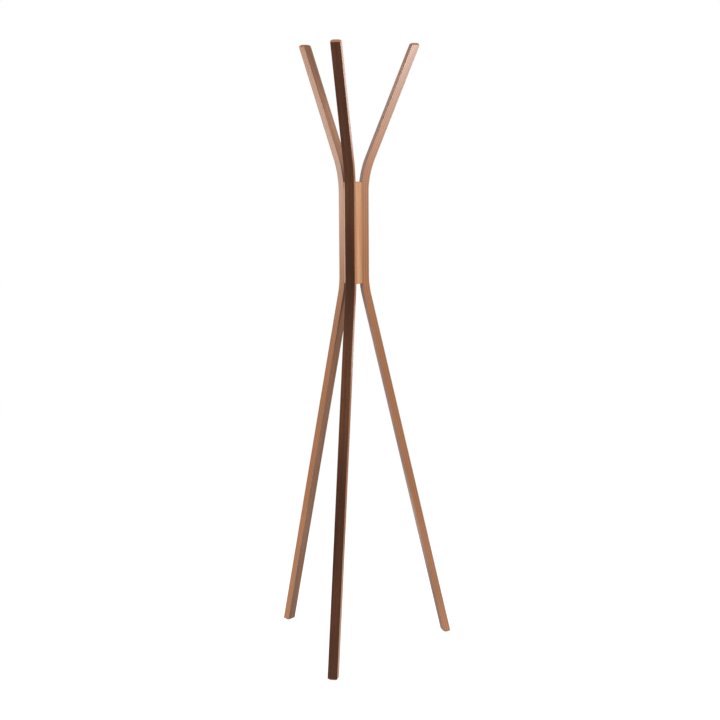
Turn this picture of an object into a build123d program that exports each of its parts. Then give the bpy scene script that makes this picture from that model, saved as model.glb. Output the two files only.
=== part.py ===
from build123d import *
import math
import os

# A standing coat rack: three bent plywood staves, glued and dowelled to a core block.
# Each stave is one bar with a splayed leg, a plumb upright and a splayed arm.
# Its ply body has a veneer pressed on to each broad face.
# Sizes are in millimetres. The origin is on the floor, on the axis that the staves stand round.
# +Z points up, and the front stave lies towards -Y.

# Stance of the whole stand
overall_height = 1750.0
foot_circle_radius = 286.0
tip_circle_radius = 186.0
stave_sides = ["front", "right", "left"]
front_stave_angle = -90.0

# Stave, with its bend heights and radii taken on the middle line of the bar
stave_width = 28.0
stave_thickness = 21.0
veneer_thickness = 0.6
lower_bend_height = 1073.0
upper_bend_height = 1387.0
lower_bend_radius = 250.0
upper_bend_radius = 250.0
stave_edge_radius = 1.2
tip_corner_radius = 7.0
foot_corner_radius = 3.0

# Core block between the bends, whose radius is from the axis to the faces that the staves are glued to
core_radius = 21.5
core_start_above_lower_bend = 6.0
core_end_below_upper_bend = 21.0
core_edge_radius = 1.5
glue_line = 0.1

# Fluted dowels, in a row up the flat stretch where each upright meets the core. The stagger lifts
# a stave's row above the row of the stave before it, so dowels from two staves never meet.
dowel_diameter = 8.0
dowel_length = 30.0
dowel_depth_in_stave = 13.0
dowel_distance_from_end = 36.0
dowel_stagger = 16.0
dowel_chamfer = 1.0
dowel_flute_count = 10
dowel_flute_radius = 0.5
dowel_hole_clearance = 0.05
dowel_hole_spare_depth = 1.0

# Felt pads under the feet
foot_pad_thickness = 2.0
foot_pad_inset = 4.0
foot_pad_corner_radius = 3.0

# Places that follow from the sizes above
angle_between_staves = 360.0 / len(stave_sides)
glued_face_radius = core_radius + glue_line
upright_radius = glued_face_radius + stave_thickness / 2
leg_lean = math.atan2(foot_circle_radius - upright_radius, lower_bend_height - foot_pad_thickness)
arm_lean = math.atan2(tip_circle_radius - upright_radius, overall_height - upper_bend_height)
core_bottom_height = lower_bend_height + core_start_above_lower_bend
core_top_height = upper_bend_height - core_end_below_upper_bend
upright_bottom_height = lower_bend_height + lower_bend_radius * math.tan(leg_lean / 2)
upright_top_height = upper_bend_height - upper_bend_radius * math.tan(arm_lean / 2)
flat_bottom_height = max(core_bottom_height, upright_bottom_height)
flat_top_height = min(core_top_height, upright_top_height)
dowel_row_heights = {
    "lower": flat_bottom_height + dowel_distance_from_end,
    "middle": (flat_bottom_height + flat_top_height) / 2,
    "upper": flat_top_height - dowel_distance_from_end,
}


def stave_turn(side):
    """The turn about the axis from +X to a stave."""
    return Rot(0, 0, front_stave_angle + stave_sides.index(side) * angle_between_staves)


def dowel_heights(side):
    """Heights of a stave's dowels, which the stagger sets above or below the middle stave's."""
    steps_from_middle = stave_sides.index(side) - (len(stave_sides) - 1) / 2
    return {row: height + steps_from_middle * dowel_stagger for row, height in dowel_row_heights.items()}


def line_along_stave(offset, overshoot=0.0):
    """Foot, bends and tip of a line along the stave, offset outwards from its middle line."""
    foot_radius = foot_circle_radius + offset / math.cos(leg_lean) + overshoot * math.tan(leg_lean)
    tip_radius = tip_circle_radius + offset / math.cos(arm_lean) + overshoot * math.tan(arm_lean)
    foot = (foot_radius, foot_pad_thickness - overshoot)
    lower_bend = (upright_radius + offset, lower_bend_height + offset * math.tan(leg_lean / 2))
    upper_bend = (upright_radius + offset, upper_bend_height - offset * math.tan(arm_lean / 2))
    tip = (tip_radius, overall_height + overshoot)
    return [foot, lower_bend, upper_bend, tip]


def bend_radii(offset):
    """Radii of both bends on the same line: the bends turn about centres outside the stave."""
    return [lower_bend_radius - offset, upper_bend_radius - offset]


def stave_layer(inner_offset, outer_offset):
    """The room between two lines along a stave, a little longer than the stave and twice as wide."""
    inner_points = line_along_stave(inner_offset, overshoot=tip_corner_radius)
    outer_points = line_along_stave(outer_offset, overshoot=tip_corner_radius)
    inner_line = FilletPolyline(*inner_points, radius=bend_radii(inner_offset))
    outer_line = FilletPolyline(*outer_points, radius=bend_radii(outer_offset))
    ends = [Line(inner_points[end], outer_points[end]) for end in (0, -1)]
    return extrude(Plane.XZ * make_face([inner_line, outer_line, *ends]), stave_width, both=True)


def dowel_holes(side, depth, way):
    """A stave's blind holes along X from the glue line, outwards for way 1 and inwards for way -1."""
    hole = Cylinder(dowel_diameter / 2 + dowel_hole_clearance, depth, rotation=(0, 90, 0))
    middle = glued_face_radius + way * depth / 2
    return [Pos(middle, 0, height) * hole for height in dowel_heights(side).values()]


def make_bar():
    """The whole bar of a stave that lies towards +X: two crossed outlines with eased edges between."""
    half = stave_thickness / 2
    outer_line = line_along_stave(half)
    inner_line = line_along_stave(-half)
    corner_radii = [foot_corner_radius, *bend_radii(half), tip_corner_radius]
    corner_radii += [tip_corner_radius, *reversed(bend_radii(-half)), foot_corner_radius]
    side_outline = FilletPolyline(*outer_line, *reversed(inner_line), radius=corner_radii, close=True)
    bar = extrude(Plane.XZ * make_face(side_outline), stave_width / 2, both=True)
    sides = bar.faces().filter_by(Axis.Y)
    bar = fillet(sides.edges(), stave_edge_radius)
    edge = stave_width / 2
    front_corners = [(edge, foot_pad_thickness), (edge, overall_height)]
    front_corners += [(-edge, overall_height), (-edge, foot_pad_thickness)]
    front_radii = [foot_corner_radius, tip_corner_radius, tip_corner_radius, foot_corner_radius]
    front_outline = FilletPolyline(*front_corners, radius=front_radii, close=True)
    reach = max(foot_circle_radius, tip_circle_radius) + 2 * stave_thickness
    return bar & extrude(Plane.YZ * make_face(front_outline), reach)


def make_stave_pieces(bar, side):
    """A stave's bar, drilled for its dowels and divided into its ply body and face veneers."""
    drilled = bar - dowel_holes(side, dowel_depth_in_stave + dowel_hole_spare_depth, 1)
    body_half = stave_thickness / 2 - veneer_thickness
    return {
        "stave": drilled & stave_layer(-body_half, body_half),
        "outer_veneer": drilled & stave_layer(body_half, stave_thickness),
        "inner_veneer": drilled & stave_layer(-stave_thickness, -body_half),
    }


def make_core():
    """A three-sided block whose corners are cut back to the curve of the staves they carry."""
    half_turn = math.radians(angle_between_staves / 2)
    bare_face_radius = core_radius * math.cos(half_turn) + stave_width / 2 * math.sin(half_turn)
    corners = len(stave_sides)
    triangle = RegularPolygon(bare_face_radius, corners, major_radius=False, rotation=front_stave_angle)
    section = chamfer(triangle.vertices(), stave_width / 2)
    block = Pos(0, 0, core_bottom_height) * extrude(section, core_top_height - core_bottom_height)
    stave_room = stave_layer(-stave_thickness / 2 - glue_line, stave_thickness)
    block = block - [stave_turn(side) * stave_room for side in stave_sides]
    ends = block.faces().filter_by(Axis.Z)
    block = fillet(ends.edges(), core_edge_radius)
    depth = dowel_length - dowel_depth_in_stave + dowel_hole_spare_depth
    return block - [stave_turn(side) * hole for side in stave_sides for hole in dowel_holes(side, depth, -1)]


def make_dowel():
    """A grooved dowel along +X, with its length shared out between the core and the stave."""
    radius = dowel_diameter / 2
    grooves = PolarLocations(radius, dowel_flute_count) * Circle(dowel_flute_radius)
    fluted = extrude(Circle(radius) - grooves, dowel_length)
    plain = Cylinder(radius, dowel_length, align=(Align.CENTER, Align.CENTER, Align.MIN))
    eased = chamfer(plain.edges().filter_by(GeomType.CIRCLE), dowel_chamfer)
    start = glued_face_radius + dowel_depth_in_stave - dowel_length
    return Pos(start, 0, 0) * Rot(0, 90, 0) * (fluted & eased)


def make_foot_pad():
    """A felt pad stuck under a foot, inside the edge of its level end."""
    length = stave_thickness / math.cos(leg_lean) - 2 * foot_pad_inset
    width = stave_width - 2 * foot_pad_inset
    pad = extrude(RectangleRounded(length, width, foot_pad_corner_radius), foot_pad_thickness)
    return Pos(foot_circle_radius, 0, 0) * pad


os.makedirs("parts", exist_ok=True)
bar = make_bar()
dowel = make_dowel()
foot_pad = make_foot_pad()
export_step(make_core(), "parts/core_block.step")
for side in stave_sides:
    turn = stave_turn(side)
    for piece, solid in make_stave_pieces(bar, side).items():
        export_step(turn * solid, f"parts/{side}_{piece}.step")
    export_step(turn * foot_pad, f"parts/{side}_foot_pad.step")
    for row, height in dowel_heights(side).items():
        export_step(turn * Pos(0, 0, height) * dowel, f"parts/{side}_{row}_dowel.step")
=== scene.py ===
import math

import bpy
from mathutils import Matrix, Vector


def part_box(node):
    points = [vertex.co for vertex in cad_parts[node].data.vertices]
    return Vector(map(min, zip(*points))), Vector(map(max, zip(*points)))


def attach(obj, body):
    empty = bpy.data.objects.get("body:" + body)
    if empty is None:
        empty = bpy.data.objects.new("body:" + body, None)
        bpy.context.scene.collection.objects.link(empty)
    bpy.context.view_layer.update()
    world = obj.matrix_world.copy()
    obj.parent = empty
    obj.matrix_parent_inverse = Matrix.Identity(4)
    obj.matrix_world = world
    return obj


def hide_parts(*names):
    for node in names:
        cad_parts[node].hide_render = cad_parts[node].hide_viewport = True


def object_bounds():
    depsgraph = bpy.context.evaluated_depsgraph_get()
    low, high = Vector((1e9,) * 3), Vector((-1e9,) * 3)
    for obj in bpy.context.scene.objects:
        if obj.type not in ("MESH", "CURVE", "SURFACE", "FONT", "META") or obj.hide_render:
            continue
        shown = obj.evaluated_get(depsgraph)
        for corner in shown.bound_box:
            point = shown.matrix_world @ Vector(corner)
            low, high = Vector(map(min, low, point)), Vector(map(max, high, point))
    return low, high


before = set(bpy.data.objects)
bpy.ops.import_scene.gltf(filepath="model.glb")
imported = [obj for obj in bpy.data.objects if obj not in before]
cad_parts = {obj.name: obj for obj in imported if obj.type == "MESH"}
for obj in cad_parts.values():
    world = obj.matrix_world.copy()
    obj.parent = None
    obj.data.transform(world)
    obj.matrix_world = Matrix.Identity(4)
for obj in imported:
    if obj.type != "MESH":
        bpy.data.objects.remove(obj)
cad_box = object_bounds()

# Camera
# A short telephoto lens stands almost 4 m from the stand, a little to the right of its front stave.
# It is at about eye height and looks slightly down, so all three feet and all three tips show.
mm = 0.001
camera_place = Vector((890.8, -3837.2, 1571.2)) * mm
camera_turn = math.radians(12.82)
camera_dip = math.radians(10.29)
camera_roll = math.radians(-0.37)
lens_length_mm = 69.395
film_width_mm = 36.0

camera = bpy.data.objects.new("camera", bpy.data.cameras.new("camera"))
camera.data.sensor_width = film_width_mm
camera.data.lens = lens_length_mm
look = Matrix.Rotation(camera_turn, 4, "Z") @ Matrix.Rotation(math.pi / 2 - camera_dip, 4, "X")
camera.matrix_world = Matrix.Translation(camera_place) @ look @ Matrix.Rotation(camera_roll, 4, "Z")
bpy.context.scene.collection.objects.link(camera)
bpy.context.scene.camera = camera

# Staves
# Three equal bars of bent plywood, each a leg, a plumb upright and an arm in one piece. The body is
# pressed from plies in a curved mould, with a walnut veneer on its inner and its outer face.
# Each is glued to the core block through its inner veneer, on three dowels in blind holes.
stave_angles = {"front": -90.0, "right": 30.0, "left": 150.0}
dowel_rows = ["lower", "middle", "upper"]
body_low, body_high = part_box("front_stave")
inner_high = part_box("front_inner_veneer")[1]
pad_low, pad_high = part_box("front_foot_pad")
top_height = cad_box[1][2]
foot_height = pad_high[2]
foot_radius = -(pad_low[1] + pad_high[1]) / 2
tip_radius = 186 * mm
stave_width = body_high[0] - body_low[0]
stave_thickness = 21 * mm
veneer_thickness = inner_high[1] - body_high[1]
upright_radius = stave_thickness / 2 - inner_high[1]
lower_bend_height = 1073 * mm
upper_bend_height = 1387 * mm
bend_radius = 250 * mm
edge_radius = 1.2 * mm
tip_corner_radius = 7 * mm
foot_corner_radius = 3 * mm
dowel_hole_radius = 4.05 * mm
dowel_hole_end_radius = 35.6 * mm
leg_lean = math.atan2(foot_radius - upright_radius, lower_bend_height - foot_height)
arm_lean = math.atan2(tip_radius - upright_radius, top_height - upper_bend_height)
upright_bottom = lower_bend_height + bend_radius * math.tan(leg_lean / 2)
upright_top = upper_bend_height - bend_radius * math.tan(arm_lean / 2)
bend_centre_radius = upright_radius + bend_radius


def deselect_all():
    """Leaves nothing selected, so the next operator works on the new piece alone."""
    bpy.ops.object.select_all(action="DESELECT")


def select_only(piece):
    """Makes a piece the only selected one, so the next operator works on it alone."""
    deselect_all()
    piece.select_set(True)
    bpy.context.view_layer.objects.active = piece


def select_faces(piece, is_wanted):
    """Selects, in edit mode, the faces whose middle and normal are wanted."""
    bpy.ops.object.mode_set(mode="OBJECT")
    chosen = [is_wanted(face.center, face.normal) for face in piece.data.polygons]
    for part in (piece.data.vertices, piece.data.edges):
        part.foreach_set("select", [False] * len(part))
    piece.data.polygons.foreach_set("select", chosen)
    bpy.ops.object.mode_set(mode="EDIT")
    bpy.ops.mesh.select_mode(type="FACE")


def is_level(normal):
    """Whether a face with this normal lies level."""
    return abs(normal.z) > 0.99


def bent_bar(name, width, inner_offset, outer_offset, corner_radius):
    """A bar towards -Y between two offsets from the stave's middle line, longer than the stave."""
    spare_length = 30 * mm
    bend_steps = 20
    corner_steps = 4
    weld_distance = 0.01 * mm
    middle = upright_radius + (inner_offset + outer_offset) / 2
    deselect_all()
    bpy.ops.mesh.primitive_plane_add(size=1, location=(0, -middle, upright_bottom))
    bar = bpy.context.object
    bar.name = name
    bar.scale = (width, outer_offset - inner_offset, 1)
    bpy.ops.object.transform_apply(location=True, rotation=True, scale=True)
    bpy.ops.object.mode_set(mode="EDIT")
    bpy.ops.mesh.select_all(action="SELECT")
    if corner_radius:
        bpy.ops.mesh.bevel(offset=corner_radius, segments=corner_steps, affect="VERTICES")
    rise = (0, 0, upright_top - upright_bottom)
    bpy.ops.mesh.extrude_region_move(TRANSFORM_OT_translate={"value": rise})
    ends = [
        (upright_top, arm_lean, 1, top_height - upper_bend_height + spare_length),
        (upright_bottom, leg_lean, -1, lower_bend_height - foot_height + spare_length),
    ]
    for height, lean, way, reach in ends:
        select_faces(bar, lambda centre, normal: abs(centre.z - height) < mm and is_level(normal))
        bpy.ops.mesh.spin(
            steps=bend_steps,
            angle=-way * lean,
            center=(0, -bend_centre_radius, height),
            axis=(1, 0, 0),
        )
        run = (0, -math.tan(lean) * reach, way * reach)
        bpy.ops.mesh.extrude_region_move(TRANSFORM_OT_translate={"value": run})
    bpy.ops.mesh.select_all(action="SELECT")
    bpy.ops.mesh.remove_doubles(threshold=weld_distance)
    bpy.ops.mesh.normals_make_consistent(inside=False)
    bpy.ops.object.mode_set(mode="OBJECT")
    return bar


def end_outline(drop, end_radius, lean, corner_radius):
    """Outer radius, inner radius and half width of a rounded level end, this far before the end."""
    half_depth = stave_thickness / 2 / math.cos(lean)
    outer = end_radius + half_depth - drop * math.tan(lean)
    inner = end_radius - half_depth - drop * math.tan(lean)
    half_width = stave_width / 2
    rise = corner_radius - drop
    reach = math.sqrt(max(corner_radius ** 2 - rise ** 2, 0))
    slant = corner_radius * math.sin(lean)
    if rise > -slant:
        outer = end_radius + half_depth - (corner_radius + slant) / math.cos(lean) + reach
    if rise > slant:
        inner = end_radius - half_depth + (corner_radius - slant) / math.cos(lean) - reach
    if rise > 0:
        half_width += reach - corner_radius
    return outer, inner, half_width


def round_level_end(bar, end_height, end_radius, lean, way, corner_radius):
    """Cuts a bar level near its end, and rounds the end over in steps of extrude and resize."""
    steps = 14
    near = 0.1 * mm
    drop = corner_radius * (1 + math.sin(lean))
    start = end_height - way * drop
    bpy.ops.object.mode_set(mode="EDIT")
    bpy.ops.mesh.select_all(action="SELECT")
    bpy.ops.mesh.bisect(
        plane_co=(0, 0, start), plane_no=(0, 0, way), use_fill=True, clear_outer=True
    )
    select_faces(bar, lambda centre, normal: abs(centre.z - start) < near and is_level(normal))
    outer, inner, half_width = end_outline(drop, end_radius, lean, corner_radius)
    for step in range(1, steps + 1):
        turn = -lean + (math.pi / 2 + lean) * step / steps
        new_drop = corner_radius * (1 - math.sin(turn))
        new_outer, new_inner, new_half_width = end_outline(new_drop, end_radius, lean, corner_radius)
        middle = (outer + inner) / 2
        new_middle = (new_outer + new_inner) / 2
        bpy.ops.mesh.extrude_region_move(
            TRANSFORM_OT_translate={"value": (0, middle - new_middle, way * (drop - new_drop))}
        )
        bpy.ops.transform.resize(
            value=(new_half_width / half_width, (new_outer - new_inner) / (outer - inner), 1),
            center_override=(0, -new_middle, end_height - way * new_drop),
        )
        drop, outer, inner, half_width = new_drop, new_outer, new_inner, new_half_width
    bpy.ops.object.mode_set(mode="OBJECT")


def copy_piece(piece, name):
    """A copy of a piece with its own mesh."""
    made = piece.copy()
    made.data = piece.data.copy()
    made.name = name
    made.data.name = name
    bpy.context.scene.collection.objects.link(made)
    return made


def cut_with(piece, cutter, operation):
    """Applies one boolean cut to a piece."""
    select_only(piece)
    cut = piece.modifiers.new("cut", "BOOLEAN")
    cut.operation = operation
    cut.object = cutter
    cut.solver = "MANIFOLD"
    bpy.ops.object.modifier_apply(modifier=cut.name)


def drill_for_dowels(piece, side):
    """Drills the blind holes of a side's dowels into a piece of the front stave."""
    for row in dowel_rows:
        dowel_low, dowel_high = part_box(f"{side}_{row}_dowel")
        deselect_all()
        bpy.ops.mesh.primitive_cylinder_add(
            vertices=32,
            radius=dowel_hole_radius,
            depth=dowel_hole_end_radius,
            location=(0, -dowel_hole_end_radius / 2, (dowel_low[2] + dowel_high[2]) / 2),
            rotation=(math.pi / 2, 0, 0),
        )
        drill = bpy.context.object
        cut_with(piece, drill, "DIFFERENCE")
        bpy.data.objects.remove(drill)


def turn_from_front(piece, angle):
    """Turns a piece that was made for the front stave round the axis to the stave at this angle."""
    select_only(piece)
    piece.rotation_euler = (0, 0, math.radians(angle - stave_angles["front"]))
    bpy.ops.object.transform_apply(location=True, rotation=True, scale=True)


def unbent_place(point):
    """Where a point of the front stave was before bending: across, through the plies, and along."""
    out = -point.y
    if upright_bottom <= point.z <= upright_top:
        return (point.x, out - upright_radius, point.z)
    upper = point.z > upright_top
    way = 1 if upper else -1
    lean = arm_lean if upper else leg_lean
    start = upright_top if upper else upright_bottom
    rise = (point.z - start) * way
    angle = math.atan2(rise, bend_centre_radius - out)
    if angle <= lean:
        reach = math.hypot(rise, bend_centre_radius - out)
        return (point.x, bend_radius - reach, start + way * bend_radius * angle)
    bend_end_out = bend_centre_radius - bend_radius * math.cos(lean)
    bend_end_rise = bend_radius * math.sin(lean)
    along = (out - bend_end_out) * math.sin(lean) + (rise - bend_end_rise) * math.cos(lean)
    through = (out - bend_end_out) * math.cos(lean) - (rise - bend_end_rise) * math.sin(lean)
    return (point.x, through, start + way * (bend_radius * lean + along))


def lay_grain(piece, shift):
    """Stores each point's unbent place, so that plies and grain follow the bends."""
    places = piece.data.attributes.new("grain_place", "FLOAT_VECTOR", "POINT")
    values = []
    for vertex in piece.data.vertices:
        across, through, along = unbent_place(vertex.co)
        values += [across + shift, through, along + shift]
    places.data.foreach_set("vector", values)


def linear(colour):
    """An sRGB hex colour as linear red, green, blue and alpha."""
    shares = [int(colour[place:place + 2], 16) / 255 for place in (1, 3, 5)]
    return [s / 12.92 if s <= 0.04045 else ((s + 0.055) / 1.055) ** 2.4 for s in shares] + [1.0]


def new_material(name):
    """A material with its Principled shader."""
    material = bpy.data.materials.new(name)
    material.use_nodes = True
    return material, material.node_tree.nodes["Principled BSDF"]


def set_material(piece, material):
    """Gives a piece this material alone."""
    piece.data.materials.clear()
    piece.data.materials.append(material)


def add_node(material, kind, values=None, links=None, **settings):
    """Adds a node with its settings, socket values and incoming links."""
    node = material.node_tree.nodes.new(kind)
    for setting, value in settings.items():
        setattr(node, setting, value)
    for socket, value in (values or {}).items():
        node.inputs[socket].default_value = value
    for socket, source in (links or {}).items():
        material.node_tree.links.new(source, node.inputs[socket])
    return node


def pattern(material, place, size, detail, roughness=0.5, distortion=0.0, start=0.0):
    """Noise in patches of this width, depth and length in metres, read at a place on the piece."""
    scaled = add_node(
        material,
        "ShaderNodeMapping",
        values={"Location": (start, 0, 0), "Scale": [1 / side for side in size]},
        links={"Vector": place},
    )
    noise = add_node(
        material,
        "ShaderNodeTexNoise",
        values={"Scale": 1.0, "Detail": detail, "Roughness": roughness, "Distortion": distortion},
        links={"Vector": scaled.outputs["Vector"]},
    )
    return noise.outputs["Fac"]


def tone_and_painted_light_along(material, place, colour, start, darkest, palest):
    """The colour, made slowly darker and paler along the stave: partly wood tone along the log, partly
    painted light and shade.
    """
    stretch_length = 400 * mm
    axes = add_node(material, "ShaderNodeSeparateXYZ", links={"Vector": place})
    log_place = add_node(
        material,
        "ShaderNodeMath",
        operation="MULTIPLY_ADD",
        values={1: 1 / stretch_length, 2: start},
        links={0: axes.outputs["Z"]},
    )
    change = add_node(
        material,
        "ShaderNodeTexNoise",
        noise_dimensions="1D",
        values={"Scale": 1.0, "Detail": 1.0, "Roughness": 0.5},
        links={"W": log_place.outputs["Value"]},
    )
    share = add_node(
        material,
        "ShaderNodeMapRange",
        values={"From Min": 0.2, "From Max": 0.8, "To Min": darkest, "To Max": palest},
        links={"Value": change.outputs["Fac"]},
    )
    shaded = add_node(
        material,
        "ShaderNodeHueSaturation",
        links={"Color": colour, "Value": share.outputs["Result"]},
    )
    return shaded.outputs["Color"]


def walnut_veneer(name, pale, brown, dark, pore, shine, leaf_start):
    """Sliced walnut: pale to brown figure, dark streaks, pores, and a slow change along the leaf that
    is partly painted light and shade.
    """
    figure_size = (14 * mm, 14 * mm, 420 * mm)
    streak_size = (3 * mm, 3 * mm, 120 * mm)
    pore_size = (0.6 * mm, 0.6 * mm, 14 * mm)
    streak_share = 0.5
    pore_share = 0.6
    veneer, shader = new_material(name)
    place = add_node(veneer, "ShaderNodeAttribute", attribute_name="grain_place").outputs["Vector"]
    figure = pattern(veneer, place, figure_size, detail=3.0, roughness=0.55, distortion=0.4)
    streaks = pattern(veneer, place, streak_size, detail=4.0, roughness=0.6)
    pore_noise = pattern(veneer, place, pore_size, detail=2.0)
    figure_range = add_node(
        veneer,
        "ShaderNodeMapRange",
        values={"From Min": 0.3, "From Max": 0.7},
        links={"Value": figure},
    )
    figure_colour = add_node(
        veneer,
        "ShaderNodeMix",
        data_type="RGBA",
        values={6: linear(brown), 7: linear(pale)},
        links={0: figure_range.outputs["Result"]},
    )
    streak_range = add_node(
        veneer,
        "ShaderNodeMapRange",
        values={"From Min": 0.35, "From Max": 0.65, "To Min": 0.0, "To Max": streak_share},
        links={"Value": streaks},
    )
    streaked_colour = add_node(
        veneer,
        "ShaderNodeMix",
        data_type="RGBA",
        values={7: linear(dark)},
        links={0: streak_range.outputs["Result"], 6: figure_colour.outputs[2]},
    )
    pores = add_node(
        veneer,
        "ShaderNodeMapRange",
        values={"From Min": 0.57, "From Max": 0.7},
        links={"Value": pore_noise},
    )
    pore_depth = add_node(
        veneer,
        "ShaderNodeMath",
        operation="MULTIPLY",
        values={1: pore_share},
        links={0: pores.outputs["Result"]},
    )
    pored_colour = add_node(
        veneer,
        "ShaderNodeMix",
        data_type="RGBA",
        values={7: linear(pore)},
        links={0: pore_depth.outputs["Value"], 6: streaked_colour.outputs[2]},
    )
    # The slow change along the leaf is partly the walnut's own tone and partly painted light and shade.
    leaf_and_painted_light_colour = tone_and_painted_light_along(
        veneer, place, pored_colour.outputs[2], leaf_start, darkest=0.77, palest=1.5
    )
    gloss = add_node(
        veneer,
        "ShaderNodeMapRange",
        values={"From Min": 0.3, "From Max": 0.7, "To Min": 0.36, "To Max": 0.44},
        links={"Value": streaks},
    )
    grooves = add_node(
        veneer,
        "ShaderNodeBump",
        invert=True,
        values={"Strength": 0.2, "Distance": 0.1 * mm},
        links={"Height": pores.outputs["Result"]},
    )
    veneer.node_tree.links.new(leaf_and_painted_light_colour, shader.inputs["Base Color"])
    veneer.node_tree.links.new(gloss.outputs["Result"], shader.inputs["Roughness"])
    veneer.node_tree.links.new(grooves.outputs["Normal"], shader.inputs["Normal"])
    shader.inputs["IOR"].default_value = 1.5
    shader.inputs["Specular IOR Level"].default_value = shine
    return veneer


# Walnut veneer, sliced, sanded and oiled: soft streaks and short dark pores along the stave, with a
# satin sheen. The outer faces show the dark walnut, and the inner faces a paler copy of the same
# walnut, which is painted light. Real pores are about 0.2 mm wide and a few mm long; they are drawn
# coarser here, so that they show.
dark_veneer = walnut_veneer(
    "oiled_walnut_heartwood",
    pale="#724730",
    brown="#603a26",
    dark="#482b1c",
    pore="#2e1b12",
    shine=0.35,
    leaf_start=70.55,
)
# Inner faces: the same walnut drawn paler, as painted light.
painted_light_veneer = walnut_veneer(
    "oiled_walnut_painted_light",
    pale="#a97f66",
    brown="#966e57",
    dark="#7a5440",
    pore="#63422f",
    shine=0.25,
    leaf_start=898.4,
)

# Plywood edge, sanded and oiled: a paler brown in which long-grain and cross-grain plies alternate as
# stripes along the bar and across its ends, with a dark glue line between. The cross-grain plies show
# the dots of their end grain, which are drawn coarser than life.
ply_count = 7
ply_thickness = stave_thickness / ply_count
glue_half_width = 0.1 * mm
glue_share_of_colour = 0.5
edge_streak_size = (3 * mm, 3 * mm, 160 * mm)
end_grain_size = (0.7 * mm, 0.7 * mm, 0.7 * mm)
# An odd number puts a cross-grain ply in the middle and a long-grain ply outermost.
middle_ply = 41.0
plywood, shader = new_material("oiled_plywood_edge")
place = add_node(plywood, "ShaderNodeAttribute", attribute_name="grain_place").outputs["Vector"]
axes = add_node(plywood, "ShaderNodeSeparateXYZ", links={"Vector": place})
ply_step = add_node(
    plywood,
    "ShaderNodeMath",
    operation="MULTIPLY_ADD",
    values={1: 1 / ply_thickness, 2: middle_ply},
    links={0: axes.outputs["Y"]},
)
ply_turn = add_node(
    plywood,
    "ShaderNodeMath",
    operation="PINGPONG",
    values={1: 1.0},
    links={0: ply_step.outputs["Value"]},
)
ply_kind = add_node(
    plywood,
    "ShaderNodeMapRange",
    interpolation_type="SMOOTHSTEP",
    values={"From Min": 0.4, "From Max": 0.6},
    links={"Value": ply_turn.outputs["Value"]},
)
ply_colour = add_node(
    plywood,
    "ShaderNodeMix",
    data_type="RGBA",
    values={6: linear("#d6986d"), 7: linear("#c0835a")},
    links={0: ply_kind.outputs["Result"]},
)
edge_streaks = pattern(plywood, place, edge_streak_size, detail=4.0, roughness=0.6)
edge_range = add_node(
    plywood,
    "ShaderNodeMapRange",
    values={"From Min": 0.35, "From Max": 0.65, "To Min": 0.0, "To Max": 0.3},
    links={"Value": edge_streaks},
)
streaked_colour = add_node(
    plywood,
    "ShaderNodeMix",
    data_type="RGBA",
    values={7: linear("#ab7049")},
    links={0: edge_range.outputs["Result"], 6: ply_colour.outputs[2]},
)
dots = add_node(
    plywood,
    "ShaderNodeMapRange",
    values={"From Min": 0.55, "From Max": 0.7, "To Min": 0.0, "To Max": 0.5},
    links={"Value": pattern(plywood, place, end_grain_size, detail=2.0)},
)
end_grain = add_node(
    plywood,
    "ShaderNodeMath",
    operation="MULTIPLY",
    links={0: dots.outputs["Result"], 1: ply_kind.outputs["Result"]},
)
end_grain_colour = add_node(
    plywood,
    "ShaderNodeMix",
    data_type="RGBA",
    values={7: linear("#84502f")},
    links={0: end_grain.outputs["Value"], 6: streaked_colour.outputs[2]},
)
glue_line = add_node(
    plywood,
    "ShaderNodeMath",
    operation="COMPARE",
    values={1: 0.5, 2: glue_half_width / ply_thickness},
    links={0: ply_turn.outputs["Value"]},
)
glue_share = add_node(
    plywood,
    "ShaderNodeMath",
    operation="MULTIPLY",
    values={1: glue_share_of_colour},
    links={0: glue_line.outputs["Value"]},
)
plywood_colour = add_node(
    plywood,
    "ShaderNodeMix",
    data_type="RGBA",
    values={7: linear("#7a4b2e")},
    links={0: glue_share.outputs["Value"], 6: end_grain_colour.outputs[2]},
)
# The slow change along the stave is partly the ply's own tone and partly painted light and shade.
plywood_tone_and_painted_light = tone_and_painted_light_along(
    plywood, place, plywood_colour.outputs[2], start=1029.5, darkest=0.85, palest=1.21
)
plywood_gloss = add_node(
    plywood,
    "ShaderNodeMapRange",
    values={"From Min": 0.3, "From Max": 0.7, "To Min": 0.28, "To Max": 0.33},
    links={"Value": edge_streaks},
)
plywood_pores = add_node(
    plywood,
    "ShaderNodeBump",
    values={"Strength": 0.06, "Distance": 0.2 * mm},
    links={"Height": edge_streaks},
)
plywood.node_tree.links.new(plywood_tone_and_painted_light, shader.inputs["Base Color"])
plywood.node_tree.links.new(plywood_gloss.outputs["Result"], shader.inputs["Roughness"])
plywood.node_tree.links.new(plywood_pores.outputs["Normal"], shader.inputs["Normal"])
shader.inputs["IOR"].default_value = 1.5
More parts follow.
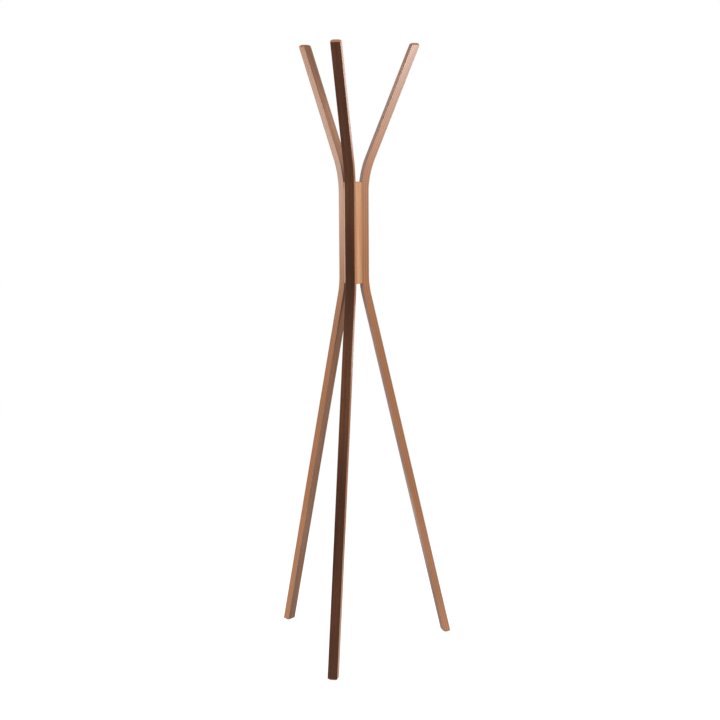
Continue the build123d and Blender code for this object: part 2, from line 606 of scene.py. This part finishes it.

# The bar is made once and divided into its layers. Each stave lies at its own place in the grain, so no
# two look the same.
# These places also set where the slow changes along each stave, partly painted light and shade, fall.
log_places = {"front": 0.0, "right": 40.4, "left": 6.0}
smooth_angle = math.radians(30)
half_thickness = stave_thickness / 2
half_body = half_thickness - veneer_thickness
bar = bent_bar("bar", stave_width, -half_thickness, half_thickness, edge_radius)
round_level_end(bar, top_height, tip_radius, arm_lean, 1, tip_corner_radius)
round_level_end(bar, foot_height, foot_radius, leg_lean, -1, foot_corner_radius)
layers = {
    "stave": (-half_body, half_body, plywood, "stave_ply"),
    "outer_veneer": (half_body, stave_thickness, dark_veneer, "face_veneer"),
    "inner_veneer": (-stave_thickness, -half_body, painted_light_veneer, "face_veneer"),
}
for layer, (inner_offset, outer_offset, finish, slot_name) in layers.items():
    room = bent_bar("layer_room", 2 * stave_width, inner_offset, outer_offset, 0)
    sliced = copy_piece(bar, layer)
    cut_with(sliced, room, "INTERSECT")
    bpy.data.objects.remove(room)
    for side, angle in stave_angles.items():
        node = f"{side}_{layer}"
        piece = copy_piece(sliced, f"{node}_wood")
        if layer != "outer_veneer":
            drill_for_dowels(piece, side)
        lay_grain(piece, log_places[side])
        set_material(piece, finish)
        turn_from_front(piece, angle)
        bpy.ops.object.shade_smooth_by_angle(angle=smooth_angle)
        flat_faces = piece.modifiers.new("flat_faces", "WEIGHTED_NORMAL")
        flat_faces.keep_sharp = True
        bpy.ops.object.modifier_apply(modifier=flat_faces.name)
        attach(piece, "root")
        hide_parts(node)
    bpy.data.objects.remove(sliced)
bpy.data.objects.remove(bar)

# Core block
# One block of straight-grained beech with three bare faces and three glued faces, as high as the
# uprights. Its corners are milled to the curve of the staves, and its level ends are eased by hand.

# Beech, sanded and oiled: a pale honey tone with soft brown streaks up the block and a satin sheen. The
# short flecks of beech are drawn coarser than life, so that they show.
core_streak_size = (7 * mm, 7 * mm, 260 * mm)
core_fleck_size = (0.8 * mm, 0.8 * mm, 6 * mm)
core_wood, shader = new_material("oiled_beech_block")
place = add_node(core_wood, "ShaderNodeTexCoord").outputs["Object"]
core_grain = pattern(core_wood, place, core_streak_size, detail=4.0, roughness=0.6, start=53.25)
core_range = add_node(
    core_wood,
    "ShaderNodeMapRange",
    values={"From Min": 0.3, "From Max": 0.7},
    links={"Value": core_grain},
)
core_colour = add_node(
    core_wood,
    "ShaderNodeMix",
    data_type="RGBA",
    values={6: linear("#f4c297"), 7: linear("#dc9765")},
    links={0: core_range.outputs["Result"]},
)
core_flecks = add_node(
    core_wood,
    "ShaderNodeMapRange",
    values={"From Min": 0.58, "From Max": 0.7, "To Min": 0.0, "To Max": 0.4},
    links={"Value": pattern(core_wood, place, core_fleck_size, detail=2.0)},
)
flecked_colour = add_node(
    core_wood,
    "ShaderNodeMix",
    data_type="RGBA",
    values={7: linear("#b3764a")},
    links={0: core_flecks.outputs["Result"], 6: core_colour.outputs[2]},
)
core_gloss = add_node(
    core_wood,
    "ShaderNodeMapRange",
    values={"From Min": 0.3, "From Max": 0.7, "To Min": 0.28, "To Max": 0.33},
    links={"Value": core_grain},
)
core_pores = add_node(
    core_wood,
    "ShaderNodeBump",
    values={"Strength": 0.06, "Distance": 0.2 * mm},
    links={"Height": core_grain},
)
core_wood.node_tree.links.new(flecked_colour.outputs[2], shader.inputs["Base Color"])
core_wood.node_tree.links.new(core_gloss.outputs["Result"], shader.inputs["Roughness"])
core_wood.node_tree.links.new(core_pores.outputs["Normal"], shader.inputs["Normal"])
shader.inputs["IOR"].default_value = 1.5
set_material(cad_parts["core_block"], core_wood)

# Dowels
# Nine fluted beech pins, bought in and glued half into the core and half into a stave.
# None of them shows once the stand is put together.

# Raw beech: dry, matt and paler than the oiled pieces, with faint flecks.
dowel_fleck_size = (2 * mm, 2 * mm, 2 * mm)
dowel_wood, shader = new_material("raw_beech_dowel")
place = add_node(dowel_wood, "ShaderNodeTexCoord").outputs["Object"]
dowel_colour = add_node(
    dowel_wood,
    "ShaderNodeMix",
    data_type="RGBA",
    values={6: linear("#dcbf95"), 7: linear("#c9a676")},
    links={0: pattern(dowel_wood, place, dowel_fleck_size, detail=3.0)},
)
dowel_wood.node_tree.links.new(dowel_colour.outputs[2], shader.inputs["Base Color"])
shader.inputs["Roughness"].default_value = 0.75
for side in stave_angles:
    for row in dowel_rows:
        set_material(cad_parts[f"{side}_{row}_dowel"], dowel_wood)

# Foot pads
# Three pads punched from dark brown wool felt with a sticky back, one under each foot.
# The punch leaves square edges that soften and spread a little under the weight.

# Wool felt: dark brown and quite matt, with a fuzzy face and a faint sheen from its loose fibres.
felt_fibre_size = (0.6 * mm, 0.6 * mm, 0.6 * mm)
felt, shader = new_material("brown_wool_felt")
place = add_node(felt, "ShaderNodeTexCoord").outputs["Object"]
fibres = pattern(felt, place, felt_fibre_size, detail=5.0, roughness=0.7)
felt_colour = add_node(
    felt,
    "ShaderNodeMix",
    data_type="RGBA",
    values={6: linear("#3a2c24"), 7: linear("#54433a")},
    links={0: fibres},
)
fuzz = add_node(
    felt,
    "ShaderNodeBump",
    values={"Strength": 0.6, "Distance": 0.3 * mm},
    links={"Height": fibres},
)
felt.node_tree.links.new(felt_colour.outputs[2], shader.inputs["Base Color"])
felt.node_tree.links.new(fuzz.outputs["Normal"], shader.inputs["Normal"])
shader.inputs["Roughness"].default_value = 0.95
shader.inputs["Sheen Weight"].default_value = 0.3
shader.inputs["Sheen Roughness"].default_value = 0.5

felt_edge_radius = 0.5 * mm
felt_corner_radius = 3 * mm
felt_smooth_angle = math.radians(40)
pad_size = [high - low for low, high in zip(pad_low, pad_high)]
pad_middle = [(low + high) / 2 for low, high in zip(pad_low, pad_high)]
deselect_all()
bpy.ops.mesh.primitive_cube_add(size=1, location=pad_middle)
pad = bpy.context.object
pad.name = "felt_pad"
pad.scale = pad_size
bpy.ops.object.transform_apply(location=True, rotation=True, scale=True)
bpy.ops.object.mode_set(mode="EDIT")
bpy.ops.mesh.select_mode(type="EDGE")
bpy.ops.mesh.select_all(action="DESELECT")
bpy.ops.object.mode_set(mode="OBJECT")
for corner in pad.data.edges:
    ends = [pad.data.vertices[index].co for index in corner.vertices]
    corner.select = abs(ends[0].z - ends[1].z) > mm
bpy.ops.object.mode_set(mode="EDIT")
bpy.ops.mesh.bevel(offset=felt_corner_radius, segments=6)
select_faces(pad, lambda centre, normal: is_level(normal))
bpy.ops.mesh.bevel(offset=felt_edge_radius, segments=3)
bpy.ops.object.mode_set(mode="OBJECT")
bpy.ops.object.shade_smooth_by_angle(angle=felt_smooth_angle)
set_material(pad, felt)
for side, angle in stave_angles.items():
    piece = copy_piece(pad, f"{side}_foot_felt")
    turn_from_front(piece, angle)
    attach(piece, "root")
    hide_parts(f"{side}_foot_pad")
bpy.data.objects.remove(pad)

# Studio
# White paper on the floor and a white surround, which only the camera sees, as in a cut-out picture.
# A small strong light at the front right and two large ones at the left give the highlights on the
# staves. Weaker lights behind, above and at the floor fill in the shade.
floor_radius = 1.1
surround_radius = 14.0


def show_to_camera_alone(sheet):
    """Keeps a glowing sheet out of the light and the reflections on the stand."""
    sheet.visible_diffuse = False
    sheet.visible_glossy = False
    sheet.visible_transmission = False
    sheet.visible_shadow = False


# White paper: matt, and glowing a little so that it stays almost white under every light.
paper, shader = new_material("white_paper")
shader.inputs["Base Color"].default_value = linear("#8c8c8a")
shader.inputs["Roughness"].default_value = 0.9
shader.inputs["Emission Color"].default_value = linear("#ffffff")
shader.inputs["Emission Strength"].default_value = 0.9
deselect_all()
bpy.ops.mesh.primitive_circle_add(vertices=96, radius=floor_radius, fill_type="NGON")
floor = bpy.context.object
floor.name = "floor"
set_material(floor, paper)
show_to_camera_alone(floor)

# White surround: a plain white glow behind the stand.
glow, shader = new_material("white_surround")
shader.inputs["Base Color"].default_value = linear("#000000")
shader.inputs["Emission Color"].default_value = linear("#ffffff")
shader.inputs["Emission Strength"].default_value = 1.0
deselect_all()
bpy.ops.mesh.primitive_uv_sphere_add(segments=48, ring_count=24, radius=surround_radius)
surround = bpy.context.object
surround.name = "surround"
set_material(surround, glow)
show_to_camera_alone(surround)

world = bpy.data.worlds.new("dim_room")
world.use_nodes = True
world.node_tree.nodes["Background"].inputs["Color"].default_value = linear("#ffffff")
world.node_tree.nodes["Background"].inputs["Strength"].default_value = 0.12
bpy.context.scene.world = world
bpy.context.scene.view_settings.view_transform = "Standard"

# Each light: name, bearing in degrees, distance, height, width and length in metres, power in watts.
soft_boxes = [
    ("left_box", -163.0, 2.6, 1.37, 1.2, 0.9, 19.5),
    ("left_back_box", 170.0, 2.6, 1.5, 1.0, 1.8, 28.0),
    ("front_left_box", -125.0, 3.0, 1.1, 1.0, 1.2, 4.0),
    ("right_front_box", -43.0, 2.8, 2.06, 0.45, 0.5, 46.0),
    ("back_left_box", 140.0, 2.8, 1.8, 1.2, 1.6, 8.5),
    ("low_back_left_box", 137.0, 1.8, 0.1, 1.0, 1.4, 4.0),
    ("back_box", 77.0, 2.8, 1.3, 0.8, 2.0, 11.0),
    ("back_right_box", 35.0, 2.8, 1.9, 1.2, 1.6, 17.0),
    ("top_box", -90.0, 0.05, 3.4, 2.0, 2.0, 12.0),
    ("floor_box", -90.0, 0.05, -0.02, 2.2, 2.2, 8.0),
]
light_aim = Vector((0, 0, 1.3))
for name, bearing, distance, height, width, length, power in soft_boxes:
    lamp = bpy.data.lights.new(name, "AREA")
    lamp.shape = "RECTANGLE"
    lamp.size = width
    lamp.size_y = length
    lamp.energy = power
    box = bpy.data.objects.new(name, lamp)
    around = math.radians(bearing)
    box.location = (distance * math.cos(around), distance * math.sin(around), height)
    box.rotation_euler = (light_aim - box.location).to_track_quat("-Z", "Y").to_euler()
    box.visible_camera = False
    bpy.context.scene.collection.objects.link(box)
